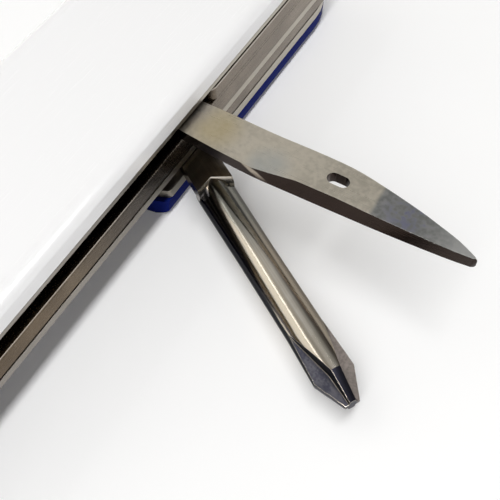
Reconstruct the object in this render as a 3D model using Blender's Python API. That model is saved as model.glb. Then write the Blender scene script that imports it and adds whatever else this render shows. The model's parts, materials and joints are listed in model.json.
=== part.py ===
"""Folding pocket knife with three tool layers, lying on its lower handle scale.

The handle runs along X. Its back, where the awl and the screwdriver fold out, faces -Y, and its belly,
where the blade, saw and openers fold out, faces +Y. Z = 0 is the outer face of the lower scale.
"""

import math

import bmesh
import bpy
from mathutils import Matrix, Vector

MM = 0.001

# Handle outline
HANDLE_LENGTH = 111.0 * MM
HANDLE_HEIGHT = 26.0 * MM
CORNER_RADIUS = 11.0 * MM
SCALE_EDGE_ROUND = 2.4 * MM
SCALE_EDGE_STRAIGHT = 2.1 * MM

# Thickness of the plates, of the spaces between them and of what lies in those spaces
SCALE_THICK = 3.2 * MM
LINER_LOWER_THICK = 1.2 * MM
LAYER_BLADE = 2.2 * MM
DIVIDER_LOWER_THICK = 1.2 * MM
LAYER_SAW = 3.0 * MM
DIVIDER_UPPER_THICK = 0.5 * MM
LAYER_OPENERS = 2.4 * MM
LINER_UPPER_THICK = 1.0 * MM
SEAM = 0.1 * MM
SPRING_SAW_RELIEF = 0.4 * MM
SPRING_BLADE_GAP = 0.3 * MM
TOOL_SIDE_GAP = 0.3 * MM
BLADE_SIDE_GAP = 0.2 * MM

# Pins and bushes
PIVOT_RADIUS = 1.25 * MM
SPRING_PIN_RADIUS = 0.9 * MM
FIXED_CLEARANCE = 0.05 * MM
RUNNING_CLEARANCE = 0.08 * MM
BUSH_RADIUS = 2.3 * MM
BUSH_HEIGHT = 1.4 * MM
BUSH_SEAT_GAP = 0.2 * MM

# Tangs and back springs
TANG_RADIUS = 6.9 * MM
TANG_GAP = 0.2 * MM
SPRING_END_BACK = 0.5 * MM
SPRING_WEB = 2.8 * MM
SPRING_REAR_BLOCK = 8.1 * MM
SPRING_CORNER_ROUND = 1.3 * MM
SAW_SPRING_HEIGHT = 8.0 * MM

# Tools that fold into the back
BACK_PIVOT_DEPTH = 4.6 * MM
BACK_TANG_RADIUS = 4.2 * MM
BACK_TANG_GAP = 0.3 * MM
POCKET_ROOM = 1.9 * MM
AWL_LENGTH = 46.5 * MM
AWL_OPEN_DEG = 90.0
AWL_SHOULDER_AT = 16.0 * MM
AWL_GRIND_FULL_AT = 22.0 * MM
AWL_GRIND = 0.9 * MM
AWL_NECK_HALF = 2.9 * MM
AWL_POINT_LENGTH = 19.0 * MM
EYE_LENGTH = 3.1 * MM
EYE_WIDTH = 1.8 * MM
EYE_AT = 26.7 * MM
DRIVER_LENGTH = 46.4 * MM
DRIVER_OPEN_DEG = 59.0
DRIVER_OFFSET = 2.1 * MM
DRIVER_TANG_OFFSET = 1.9 * MM
DRIVER_TANG_WIDTH = 5.4 * MM
DRIVER_TANG_LENGTH = 11.3 * MM
DRIVER_TANG_CHAMFER = 0.5 * MM
DRIVER_TANG_FISHTAIL = 1.4 * MM
DRIVER_SHANK_START = 9.4 * MM
DRIVER_SHANK_RADIUS = 2.6 * MM
DRIVER_SHANK_SWELL = 0.12 * MM
DRIVER_WING_RADIUS = 2.85 * MM
DRIVER_WING_LENGTH = 7.0 * MM
DRIVER_WING_HALF = 0.5 * MM
DRIVER_WING_ROOT_HALF = 1.0 * MM
DRIVER_FIN_HALF = 0.52 * MM
DRIVER_POINT_LENGTH = 4.2 * MM
DRIVER_POINT_RADIUS = 1.05 * MM
DRIVER_BELOW_DIVIDER = 0.25 * MM

# Cut-away of the lower liner and scale beside the folded screwdriver
NOTCH_START = 7.0 * MM
NOTCH_SCALE_STEP = 0.8 * MM
NOTCH_RAMP_LENGTH = 0.8 * MM
NOTCH_RAMP_DEPTH = 2.0 * MM
NOTCH_CORNER = 0.5 * MM
NOTCH_WALL_GAP = 0.5 * MM
NOTCH_FLOOR_GAP = 0.5 * MM
NOTCH_END_GAP = 2.0 * MM
NOTCH_END_SLOPE = 1.0 * MM

# Tools that fold into the belly
SPINE_PROUD = 0.2 * MM
EDGE_GAP = 2.0 * MM
BLADE_TIP_ROOM = 2.0 * MM
BLADE_BELLY_LENGTH = 27.0 * MM
BLADE_DROP_LENGTH = 38.0 * MM
BLADE_GRIND_SHARE = 0.62
BLADE_TIP_BACK = 1.8 * MM
BLADE_EDGE_THICK = 0.24 * MM
BLADE_HEEL = 14.0 * MM
BELLY_SHOULDER = 11.0 * MM
SAW_TOOTH_PITCH = 2.6 * MM
SAW_TOOTH_HEIGHT = 1.7 * MM
OPENER_TIP_GAP = 6.0 * MM
DRIVER_TIP_THICK = 0.8 * MM
DRIVER_TIP_TAPER = 4.0 * MM
NICK_LENGTH = 11.0 * MM
NICK_WIDTH = 1.5 * MM
NICK_DEPTH = 0.5 * MM

# Key lug and ring
LUG_THICK = 1.6 * MM
LUG_PIN_RADIUS = 4.0 * MM
LUG_END_RADIUS = 2.6 * MM
LUG_HOLE_RADIUS = 1.5 * MM
LUG_REACH = 2.0 * MM
RING_RADIUS = 4.8 * MM
RING_WIRE_RADIUS = 0.5 * MM

# Tweezers and toothpick, in channels on the inner faces of the scales
TWEEZERS_LENGTH = 45.0 * MM
TWEEZERS_WIDTH = 4.0 * MM
TWEEZERS_THICK = 1.4 * MM
TOOTHPICK_LENGTH = 45.0 * MM
TOOTHPICK_WIDTH = 3.0 * MM
TOOTHPICK_THICK = 1.3 * MM
TWEEZERS_SLIT = 0.4 * MM
PICK_HEAD = 9.0 * MM
CHANNEL_GAP = 0.2 * MM
CHANNEL_AT = 5.0 * MM
HEAD_PROUD = 0.6 * MM

# Facets
CORNER_STEPS = 10
PIN_SIDES = 18
ARC_STEP_DEG = 15.0

# Heights of the layers, from the table up
LINER_LOWER_Z = SCALE_THICK + SEAM
LAYER_BLADE_Z = LINER_LOWER_Z + LINER_LOWER_THICK
DIVIDER_LOWER_Z = LAYER_BLADE_Z + LAYER_BLADE
LAYER_SAW_Z = DIVIDER_LOWER_Z + DIVIDER_LOWER_THICK
DIVIDER_UPPER_Z = LAYER_SAW_Z + LAYER_SAW
LAYER_OPENERS_Z = DIVIDER_UPPER_Z + DIVIDER_UPPER_THICK
LINER_UPPER_Z = LAYER_OPENERS_Z + LAYER_OPENERS
SCALE_UPPER_Z = LINER_UPPER_Z + LINER_UPPER_THICK + SEAM
HANDLE_THICK = SCALE_UPPER_Z + SCALE_THICK

# Places of the pins and of the main lines of the back and the belly
BACK_Y = -HANDLE_HEIGHT / 2
BELLY_Y = HANDLE_HEIGHT / 2
FRONT_PIN = (HANDLE_LENGTH / 2 - TANG_RADIUS - SEAM, 0.0)
REAR_PIN = (-FRONT_PIN[0], 0.0)
BLOCK_X = REAR_PIN[0] + SPRING_REAR_BLOCK
BACK_PIN = (BLOCK_X + POCKET_ROOM + max(AWL_LENGTH, DRIVER_LENGTH), BACK_Y + BACK_PIVOT_DEPTH)
SPRING_PIN_Y = BACK_Y + 3.3 * MM
SPRING_PIN_FRONT = ((BACK_PIN[0] + FRONT_PIN[0]) / 2, SPRING_PIN_Y)
SPRING_PIN_REAR = (BLOCK_X - 2.2 * MM, SPRING_PIN_Y)
POCKET_FLOOR_Y = BACK_PIN[1] + BACK_TANG_RADIUS + BACK_TANG_GAP
SPRING_BOTTOM_Y = POCKET_FLOOR_Y + SPRING_WEB
EDGE_S = SPRING_BOTTOM_Y + EDGE_GAP
SPINE_S = BELLY_Y + SPINE_PROUD
CLEARED_TANG = TANG_RADIUS + TANG_GAP

STEEL = ("polished_steel", (0.56, 0.54, 0.50), 0.25, 1.0)
SPRING_STEEL = ("spring_steel", (0.52, 0.48, 0.44), 0.28, 1.0)
LINER_METAL = ("liner_metal", (0.62, 0.61, 0.59), 0.35, 1.0)
BRASS = ("brass", (0.72, 0.55, 0.27), 0.3, 1.0)
BLUE_PLASTIC = ("blue_plastic", (0.012, 0.022, 0.16), 0.3, 0.0)
WHITE_PLASTIC = ("white_plastic", (0.86, 0.86, 0.87), 0.3, 0.0)
GREY_PLASTIC = ("grey_plastic", (0.45, 0.45, 0.46), 0.45, 0.0)


def clear_scene():
    for old in list(bpy.data.objects):
        bpy.data.objects.remove(old, do_unlink=True)


def material(finish):
    name, colour, roughness, metallic = finish
    made = bpy.data.materials.get(name)
    if made is None:
        made = bpy.data.materials.new(name)
        made.use_nodes = True
        shader = made.node_tree.nodes["Principled BSDF"]
        shader.inputs["Base Color"].default_value = (*colour, 1.0)
        shader.inputs["Roughness"].default_value = roughness
        shader.inputs["Metallic"].default_value = metallic
    return made


def arc(centre, radius, start_deg, end_deg):
    """Points along an arc, both ends included."""
    steps = max(2, round(abs(end_deg - start_deg) / ARC_STEP_DEG))
    turns = [math.radians(start_deg + (end_deg - start_deg) * i / steps) for i in range(steps + 1)]
    return [(centre[0] + radius * math.cos(a), centre[1] + radius * math.sin(a)) for a in turns]


def circle(centre, radius, sides=PIN_SIDES):
    turns = [2 * math.pi * i / sides for i in range(sides)]
    return [(centre[0] + radius * math.cos(a), centre[1] + radius * math.sin(a)) for a in turns]


def handle_outline(inset=0.0):
    """The rounded rectangle of the handle, counter-clockwise, drawn in by the inset."""
    radius = CORNER_RADIUS - inset
    x = HANDLE_LENGTH / 2 - CORNER_RADIUS
    y = HANDLE_HEIGHT / 2 - CORNER_RADIUS
    points = []
    for corner, (sx, sy) in enumerate(((1, 1), (-1, 1), (-1, -1), (1, -1))):
        for i in range(CORNER_STEPS + 1):
            a = math.pi / 2 * (corner + i / CORNER_STEPS)
            points.append((sx * x + radius * math.cos(a), sy * y + radius * math.sin(a)))
    return points


def smooth(points, steps=4):
    """A Catmull-Rom curve through the points, which are kept."""
    ends = [points[0], *points, points[-1]]
    curve = [points[0]]
    for p0, p1, p2, p3 in zip(ends, ends[1:], ends[2:], ends[3:]):
        for i in range(1, steps + 1):
            t = i / steps
            point = []
            for a, b, c, d in zip(p0, p1, p2, p3):
                square = 2 * a - 5 * b + 4 * c - d
                cube = 3 * b - a - 3 * c + d
                point.append(0.5 * (2 * b + (c - a) * t + square * t**2 + cube * t**3))
            curve.append(tuple(point))
    return curve


def add_object(name, bm, finish, at=(0.0, 0.0), turn_deg=0.0, sharp_deg=30.0):
    """Turns the bmesh into an object whose origin, on its joint's axis if it moves, is at the given place."""
    bmesh.ops.remove_doubles(bm, verts=bm.verts, dist=0.002 * MM)
    bmesh.ops.recalc_face_normals(bm, faces=bm.faces)
    mesh = bpy.data.meshes.new(name)
    bm.to_mesh(mesh)
    bm.free()
    mesh.shade_smooth()
    mesh.set_sharp_from_angle(angle=math.radians(sharp_deg))
    obj = bpy.data.objects.new(name, mesh)
    obj.location = (at[0], at[1], 0.0)
    obj.rotation_euler = (0.0, 0.0, math.radians(turn_deg))
    if finish is not None:
        mesh.materials.append(material(finish))
    bpy.context.scene.collection.objects.link(obj)
    return obj


def edges_of(ring, bm):
    return [bm.edges.get((a, b)) for a, b in zip(ring, ring[1:] + ring[:1])]


def stacked(levels, holes=()):
    """A bmesh solid through outlines of equal point count at rising heights, with straight holes."""
    bm = bmesh.new()
    stack = []
    for z, outline in levels:
        stack.append([[bm.verts.new((x, y, z)) for x, y in ring] for ring in (outline, *holes)])
    for low, high in zip(stack, stack[1:]):
        for ring_low, ring_high in zip(low, high):
            for i, vert in enumerate(ring_low):
                j = (i + 1) % len(ring_low)
                bm.faces.new((vert, ring_low[j], ring_high[j], ring_high[i]))
    for rings in (stack[0], stack[-1]):
        edges = [edge for ring in rings for edge in edges_of(ring, bm)]
        bmesh.ops.triangle_fill(bm, edges=edges, use_beauty=True)
    return bm


def plate(name, finish, outline, low, high, holes=(), at=(0.0, 0.0), turn_deg=0.0):
    return add_object(name, stacked([(low, outline), (high, outline)], holes), finish, at, turn_deg)


def lofted(sections):
    """A bmesh solid through closed rings of equal point count, capped at both ends."""
    bm = bmesh.new()
    rings = [[bm.verts.new(point) for point in ring] for ring in sections]
    for a, b in zip(rings, rings[1:]):
        for i, vert in enumerate(a):
            j = (i + 1) % len(a)
            bm.faces.new((vert, a[j], b[j], b[i]))
    bm.faces.new(rings[0])
    bm.faces.new(rings[-1])
    return bm


def helper(obj):
    """Marks an object as a cutter or a piece to be joined, which is not a part of its own."""
    obj.hide_render = True
    obj.display_type = "WIRE"
    return obj


def combine(obj, other, operation):
    modifier = obj.modifiers.new(other.name, "BOOLEAN")
    modifier.operation = operation
    modifier.solver = "EXACT"
    modifier.object = other


def cut(obj, *cutters):
    for cutter in cutters:
        combine(obj, helper(cutter), "DIFFERENCE")


def pin_holes(*pins, clearance=FIXED_CLEARANCE):
    return [circle(place, radius + clearance) for place, radius in pins]


PIVOTS = ((FRONT_PIN, PIVOT_RADIUS), (REAR_PIN, PIVOT_RADIUS), (BACK_PIN, PIVOT_RADIUS))
SPRING_PINS = ((SPRING_PIN_FRONT, SPRING_PIN_RADIUS), (SPRING_PIN_REAR, SPRING_PIN_RADIUS))


def notch_outline(beyond, setback=0.0):
    """The cut-away for the folded screwdriver, open past the back by the given amount."""
    wall_x = BACK_PIN[0] - DRIVER_SHANK_START + NOTCH_WALL_GAP
    floor_y = BACK_PIN[1] - DRIVER_OFFSET + DRIVER_WING_RADIUS + NOTCH_FLOOR_GAP
    end_x = BACK_PIN[0] - DRIVER_LENGTH - NOTCH_END_GAP
    start = Vector((BACK_PIN[0] - NOTCH_START - setback, BACK_Y))
    ramp = start + Vector((-NOTCH_RAMP_LENGTH, NOTCH_RAMP_DEPTH))
    before = start + Vector((NOTCH_CORNER, 0.0))
    after = start + (ramp - start).normalized() * NOTCH_CORNER
    rounded = [before.lerp(start, t).lerp(start.lerp(after, t), t) for t in (0.0, 0.33, 0.67, 1.0)]
    return [
        (before.x, BACK_Y - beyond),
        *[tuple(point) for point in rounded],
        tuple(ramp),
        (wall_x, BACK_Y + 2 * NOTCH_RAMP_DEPTH),
        (wall_x, floor_y),
        (end_x, floor_y),
        (end_x - NOTCH_END_SLOPE, BACK_Y),
        (end_x - NOTCH_END_SLOPE, BACK_Y - beyond),
    ]


def build_liners():
    holes = pin_holes(*PIVOTS, *SPRING_PINS)
    full = handle_outline()
    plate("liner_upper", LINER_METAL, full, LINER_UPPER_Z, LINER_UPPER_Z + LINER_UPPER_THICK, holes)
    plate("divider_upper", LINER_METAL, full, DIVIDER_UPPER_Z, DIVIDER_UPPER_Z + DIVIDER_UPPER_THICK, holes)
    plate("divider_lower", LINER_METAL, full, DIVIDER_LOWER_Z, DIVIDER_LOWER_Z + DIVIDER_LOWER_THICK, holes)
    # The back edge is the stretch between the third and the fourth corner, where the notch goes in.
    third_corner_end = 3 * (CORNER_STEPS + 1)
    notched = full[:third_corner_end] + notch_outline(0.0)[-2:0:-1] + full[third_corner_end:]
    plate("liner_lower", LINER_METAL, notched, LINER_LOWER_Z, LINER_LOWER_Z + LINER_LOWER_THICK, holes)


def scale_levels(inner_z, outward):
    """Outlines of a scale from its inner to its outer face, with a rounded outer edge."""
    levels = [(inner_z, handle_outline()), (inner_z + outward * SCALE_EDGE_STRAIGHT, handle_outline())]
    rise = SCALE_THICK - SCALE_EDGE_STRAIGHT
    steps = 5
    for i in range(1, steps + 1):
        a = math.pi / 2 * i / steps
        height = SCALE_EDGE_STRAIGHT + rise * math.sin(a)
        levels.append((inner_z + outward * height, handle_outline(SCALE_EDGE_ROUND * (1 - math.cos(a)))))
    return levels


def channel(name, inner_z, outward, width, depth, length):
    """Cutter for the slot of the tweezers or the toothpick, from the front end along the inner face."""
    front = HANDLE_LENGTH / 2
    back = front - length - CHANNEL_GAP
    low_y = CHANNEL_AT - CHANNEL_GAP
    high_y = CHANNEL_AT + width + CHANNEL_GAP
    outline = [(front + width, low_y), (front + width, high_y), (back, high_y), (back, low_y)]
    faces = sorted((inner_z - outward * depth, inner_z + outward * (depth + CHANNEL_GAP)))
    return plate(name, None, outline, *faces)


def build_scales():
    tweezers = (TWEEZERS_WIDTH, TWEEZERS_THICK, TWEEZERS_LENGTH)
    toothpick = (TOOTHPICK_WIDTH, TOOTHPICK_THICK, TOOTHPICK_LENGTH)
    for name, finish, inner_z, outward, pick in (
        ("scale_lower", BLUE_PLASTIC, SCALE_THICK, -1, tweezers),
        ("scale_upper", WHITE_PLASTIC, SCALE_UPPER_Z, 1, toothpick),
    ):
        scale = add_object(name, stacked(scale_levels(inner_z, outward)), finish)
        cut(scale, channel(f"{name}_channel", inner_z, outward, *pick))
        for spot, (place, _) in zip(("front", "rear", "back"), PIVOTS):
            seat = circle(place, BUSH_RADIUS + BUSH_SEAT_GAP)
            depth = BUSH_HEIGHT + BUSH_SEAT_GAP
            faces = sorted((inner_z - outward * depth, inner_z + outward * depth))
            cut(scale, plate(f"{name}_{spot}_seat", None, seat, *faces))
        if name == "scale_lower":
            reach = SCALE_THICK
            notch = notch_outline(reach, NOTCH_SCALE_STEP)
            cut(scale, plate("scale_lower_notch", None, notch, -reach, SCALE_THICK + reach))


def build_pins():
    low = LINER_LOWER_Z - BUSH_HEIGHT
    high = LINER_UPPER_Z + LINER_UPPER_THICK + BUSH_HEIGHT
    for spot, (place, radius) in zip(("front", "rear", "back"), PIVOTS):
        plate(f"pin_{spot}", STEEL, circle((0, 0), radius), low, high, at=place)
        hole = [circle((0, 0), radius + FIXED_CLEARANCE)]
        lower_face = LINER_LOWER_Z - SEAM
        upper_face = LINER_UPPER_Z + LINER_UPPER_THICK + SEAM
        ring = circle((0, 0), BUSH_RADIUS)
        plate(f"bush_{spot}_lower", BRASS, ring, lower_face - BUSH_HEIGHT + SEAM, lower_face, hole, at=place)
        plate(f"bush_{spot}_upper", BRASS, ring, upper_face, upper_face + BUSH_HEIGHT - SEAM, hole, at=place)
    for spot, (place, radius) in zip(("front", "rear"), SPRING_PINS):
        top = LINER_UPPER_Z + LINER_UPPER_THICK
        plate(f"pin_spring_{spot}", STEEL, circle((0, 0), radius), LINER_LOWER_Z, top, at=place)


def spring_front_arm():
    """From the rounded corner beside the back tools along the back, round the front tangs, to the web."""
    corner_x = BACK_PIN[0] + BACK_TANG_RADIUS + 2 * BACK_TANG_GAP
    end_x = FRONT_PIN[0] - SPRING_END_BACK
    corner = arc(
        (corner_x + SPRING_CORNER_ROUND, BACK_Y + SPRING_CORNER_ROUND), SPRING_CORNER_ROUND, 180, 270
    )
    end_deg = -90 - math.degrees(math.asin(SPRING_END_BACK / CLEARED_TANG))
    web_deg = -180 - math.degrees(math.asin(SPRING_BOTTOM_Y / CLEARED_TANG))
    hug = arc(FRONT_PIN, CLEARED_TANG, end_deg, web_deg)
    return [(corner_x, POCKET_FLOOR_Y), *corner, (end_x, BACK_Y), *hug]


def build_springs():
    holes = pin_holes(*SPRING_PINS)
    front = spring_front_arm()
    pocket_end = (BLOCK_X, POCKET_FLOOR_Y)
    block_top = (BLOCK_X, BACK_Y)

    # Upper layer: the rear block hugs the tang of the bottle opener.
    end_x = REAR_PIN[0] + SPRING_END_BACK
    end_deg = -90 + math.degrees(math.asin(SPRING_END_BACK / CLEARED_TANG))
    web_deg = math.degrees(math.asin(SPRING_BOTTOM_Y / CLEARED_TANG))
    hug = arc(REAR_PIN, CLEARED_TANG, web_deg, end_deg)
    rear = [*hug, (end_x, BACK_Y), block_top, pocket_end]
    low = LAYER_OPENERS_Z + SEAM
    plate("spring_openers", SPRING_STEEL, front + rear, low, LAYER_OPENERS_Z + LAYER_OPENERS - SEAM, holes)

    # Lower layer: the rear block stops short of the key lug.
    block_rear = BLOCK_X - 5.0 * MM
    lug_corner = (block_rear, REAR_PIN[1] - LUG_PIN_RADIUS - 0.5 * MM)
    rear = [(BLOCK_X - 3.0 * MM, SPRING_BOTTOM_Y), lug_corner, (block_rear, BACK_Y), block_top, pocket_end]
    low = LAYER_BLADE_Z + SPRING_BLADE_GAP
    plate("spring_blade", SPRING_STEEL, front + rear, low, LAYER_BLADE_Z + LAYER_BLADE - SEAM, holes)

    # Middle layer: flush along the whole back, with a block that fills the rear end.
    bottom = BACK_Y + SAW_SPRING_HEIGHT
    web_deg = -180 - math.degrees(math.asin(bottom / CLEARED_TANG))
    end_deg = -90 - math.degrees(math.asin(SPRING_END_BACK / CLEARED_TANG))
    hug = arc(FRONT_PIN, CLEARED_TANG, end_deg, web_deg)
    third_corner = handle_outline()[2 * (CORNER_STEPS + 1) : 3 * (CORNER_STEPS + 1)]
    outline = [
        *third_corner,
        (FRONT_PIN[0] - SPRING_END_BACK, BACK_Y),
        *hug,
        (BLOCK_X, bottom),
        *arc(REAR_PIN, TANG_RADIUS + SEAM, 0, 180),
    ]
    low = LAYER_SAW_Z + SEAM
    holes = pin_holes(*SPRING_PINS, *PIVOTS[1:])
    spring = plate("spring_saw", SPRING_STEEL, outline, low, LAYER_SAW_Z + LAYER_SAW - SEAM, holes)
    # The rear half is ground thinner on its lower side, which leaves a dark line along the back.
    reach = HANDLE_LENGTH
    relief = [(-reach, -reach), (BACK_PIN[0], -reach), (BACK_PIN[0], reach), (-reach, reach)]
    cut(spring, plate("spring_saw_relief", None, relief, LAYER_SAW_Z - SEAM, LAYER_SAW_Z + SPRING_SAW_RELIEF))


def build_awl():
    """Flat awl: along +X from its pivot, with its curved spine on +Y and its ground edge on -Y."""
    length = AWL_LENGTH
    neck = AWL_NECK_HALF
    tang_deg = math.degrees(math.asin(neck / BACK_TANG_RADIUS))
    tang = arc((0, 0), BACK_TANG_RADIUS, tang_deg, 360 - tang_deg)
    edge = smooth(
        [
            (AWL_SHOULDER_AT - 6.0 * MM, -neck - 0.6 * MM),
            (AWL_SHOULDER_AT, -neck - 0.9 * MM),
            (AWL_GRIND_FULL_AT, -neck - 0.8 * MM),
            (length * 0.72, -neck - 0.5 * MM),
            (length - 4.5 * MM, -neck - 0.05 * MM),
            (length - 0.6 * MM, -neck + 0.35 * MM),
        ]
    )
    tip = [(length, -neck + 0.55 * MM)]
    point = AWL_POINT_LENGTH
    spine = smooth(
        [
            (length - 0.3 * MM, -neck + 0.7 * MM),
            (length - 0.15 * point, -neck + 1.9 * MM),
            (length - 0.31 * point, -neck + 2.85 * MM),
            (length - 0.47 * point, -neck + 3.7 * MM),
            (length - 0.76 * point, neck - 0.9 * MM),
            (length - point, neck - 0.2 * MM),
            (AWL_GRIND_FULL_AT, neck - 0.1 * MM),
            (AWL_SHOULDER_AT, neck - 0.2 * MM),
            (AWL_SHOULDER_AT - 6.0 * MM, neck - 0.05 * MM),
        ],
        3,
    )
    outline = tang + edge + tip + spine

    def ground(point):
        x, y = point
        share = min(max((x - AWL_SHOULDER_AT) / (AWL_GRIND_FULL_AT - AWL_SHOULDER_AT), 0.0), 1.0)
        fade = min(max((length - x) / AWL_POINT_LENGTH, 0.0), 1.0)
        return (x, y + AWL_GRIND * share * fade) if y < -neck + 0.5 * MM else point

    upper = [ground(point) for point in outline]
    half = (EYE_LENGTH - EYE_WIDTH) / 2
    eye = arc((EYE_AT + half, 0), EYE_WIDTH / 2, -90, 90) + arc((EYE_AT - half, 0), EYE_WIDTH / 2, 90, 270)
    holes = [*pin_holes(((0, 0), PIVOT_RADIUS), clearance=RUNNING_CLEARANCE), eye]
    low = LAYER_OPENERS_Z + TOOL_SIDE_GAP
    high = LAYER_OPENERS_Z + LAYER_OPENERS - TOOL_SIDE_GAP
    bm = stacked([(low, outline), (high, upper)], holes)
    add_object("awl", bm, STEEL, BACK_PIN, -180.0 + AWL_OPEN_DEG)


def winged_section(x, z, radius, fin_half, wing_half, reach):
    """One ring across the screwdriver: an upright fin on the round bar, and a flat wing to each side.

    Where the notches between fin and wings have not begun, their corners lie on the bar's own circle.
    """
    def on_bar(angle):
        return (radius * math.cos(angle), radius * math.sin(angle))

    if math.hypot(fin_half, wing_half) < radius:
        crest = math.acos(fin_half / radius)
        notch = [(math.sqrt(reach**2 - wing_half**2), wing_half), (fin_half, wing_half), on_bar(crest)]
    else:
        start = math.asin(wing_half / radius)
        crest = start + math.radians(2.5)
        notch = [on_bar(start - math.radians(2.5)), on_bar(start), on_bar(crest)]
    crown = [on_bar(crest + (math.pi / 2 - crest) * share) for share in (1 / 3, 2 / 3)]
    quarter = [*notch, *crown]
    mirrored = [(-y, h) for y, h in reversed(quarter)]
    upper = [(reach, 0.0), *quarter, (0.0, radius), *mirrored]
    ring = upper + [(-y, -h) for y, h in upper]
    return [(x, DRIVER_OFFSET + y, z + h) for y, h in ring]


def build_phillips():
    """Cross-head screwdriver: a flat tang in the lower layer and a thicker fluted shank set below it."""
    tang_deg = 40.0
    side = DRIVER_TANG_WIDTH / 2
    low = LAYER_BLADE_Z + BLADE_SIDE_GAP
    high = LAYER_BLADE_Z + LAYER_BLADE - BLADE_SIDE_GAP
    edge_low = DRIVER_TANG_OFFSET - side
    edge_high = DRIVER_TANG_OFFSET + side
    start_deg = 90 - tang_deg
    end_deg = 360 + math.degrees(math.asin(edge_low / BACK_TANG_RADIUS))
    tang = arc((0, 0), BACK_TANG_RADIUS, start_deg, end_deg)
    corner = (BACK_TANG_RADIUS + 0.6 * MM, edge_high)
    levels = []
    for z, drawn_back in ((low, 0.0), ((low + high) / 2, 0.0), (high, DRIVER_TANG_CHAMFER)):
        end = DRIVER_TANG_LENGTH - drawn_back
        middle = (end - DRIVER_TANG_FISHTAIL, DRIVER_TANG_OFFSET)
        fishtail = [(end, edge_low), middle, (end, edge_high)]
        levels.append((z, [*tang, *fishtail, corner]))
    hole = pin_holes(((0, 0), PIVOT_RADIUS), clearance=RUNNING_CLEARANCE)
    turn = -180.0 + DRIVER_OPEN_DEG
    driver = add_object("phillips_driver", stacked(levels, hole), STEEL, BACK_PIN, turn)

    axis_z = DIVIDER_LOWER_Z - DRIVER_BELOW_DIVIDER - DRIVER_WING_RADIUS
    point_start = DRIVER_LENGTH - DRIVER_POINT_LENGTH
    wing_start = point_start - DRIVER_WING_LENGTH
    shank = DRIVER_SHANK_RADIUS
    root = shank + DRIVER_SHANK_SWELL
    wing_root = DRIVER_WING_ROOT_HALF
    fin_root = math.sqrt(shank**2 - wing_root**2)

    def opened(share):
        """Fin, wing and reach where the notches have opened by this share of their length."""
        fin = fin_root + (DRIVER_FIN_HALF - fin_root) * share
        wing = wing_root + (DRIVER_WING_HALF - wing_root) * share
        return (fin, wing, shank + (DRIVER_WING_RADIUS - shank) * share)

    point = DRIVER_POINT_RADIUS
    stations = [
        (DRIVER_SHANK_START, root, root, wing_root, root),
        ((DRIVER_SHANK_START + wing_start) / 2, shank, shank, wing_root, shank),
        (wing_start, shank, shank, wing_root, shank),
    ]
    for share in (0.2, 0.6, 1.0):
        stations.append((wing_start + DRIVER_WING_LENGTH * share, shank, *opened(share)))
    stations.append((DRIVER_LENGTH, point, point * 0.35, point * 0.35, point))
    rings = [winged_section(x, axis_z, *widths) for x, *widths in stations]
    bar = add_object("phillips_shank", lofted(rings), STEEL, BACK_PIN, turn)
    combine(driver, helper(bar), "UNION")


def tang_points():
    """Tang of a belly tool, from its edge side round the pivot and up its shoulder to the spine."""
    edge_deg = math.degrees(math.asin(EDGE_S / TANG_RADIUS))
    disc = arc((0, 0), TANG_RADIUS, edge_deg, -280)
    rise = SPINE_S - TANG_RADIUS
    shoulder = [
        disc[-1],
        (0.4 * BELLY_SHOULDER, TANG_RADIUS + 0.14 * rise),
        (0.72 * BELLY_SHOULDER, TANG_RADIUS + 0.68 * rise),
        (BELLY_SHOULDER, SPINE_S),
    ]
    return disc[:-1] + smooth(shoulder, 3)


def belly_tool(name, body, layer_z, layer, gap, front, ground=None, edge_thick=0.0):
    """Plate tool on an end pin. A ground tool has its own body outline on both faces."""
    side = -1 if front else 1
    low = layer_z + gap
    high = layer_z + layer - gap
    middle = (low + high) / 2
    tang = tang_points()
    full = [(x, side * y) for x, y in tang + body]
    levels = [(low, full), (high, full)]
    if ground is not None:
        face = [(x, side * y) for x, y in tang + ground]
        levels = [(low, face), (middle - edge_thick / 2, full), (middle + edge_thick / 2, full), (high, face)]
    hole = pin_holes(((0, 0), PIVOT_RADIUS), clearance=RUNNING_CLEARANCE)
    at = FRONT_PIN if front else REAR_PIN
    return add_object(name, stacked(levels, hole), STEEL, at, 180.0 if front else 0.0)


def nail_nick(tool, at_x, front, top_z):
    """Cutter for the crescent that a fingernail opens the tool by, in its upper face near the spine."""
    side = -1 if front else 1
    half = NICK_LENGTH / 2
    y = SPINE_S - NICK_WIDTH
    crescent = smooth([(at_x - half, y), (at_x, y - NICK_WIDTH), (at_x + half, y)], 5)
    rim = y + 0.1 * MM
    inner = half * 0.95
    crescent += smooth([(at_x + inner, rim), (at_x, rim + 0.1 * NICK_WIDTH), (at_x - inner, rim)], 2)
    outline = [(px, side * py) for px, py in crescent]
    at = tuple(tool.location)[:2]
    turn = math.degrees(tool.rotation_euler.z)
    name = f"{tool.name}_nick"
    cut(tool, plate(name, None, outline, top_z - NICK_DEPTH, top_z + NICK_DEPTH, at=at, turn_deg=turn))


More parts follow.
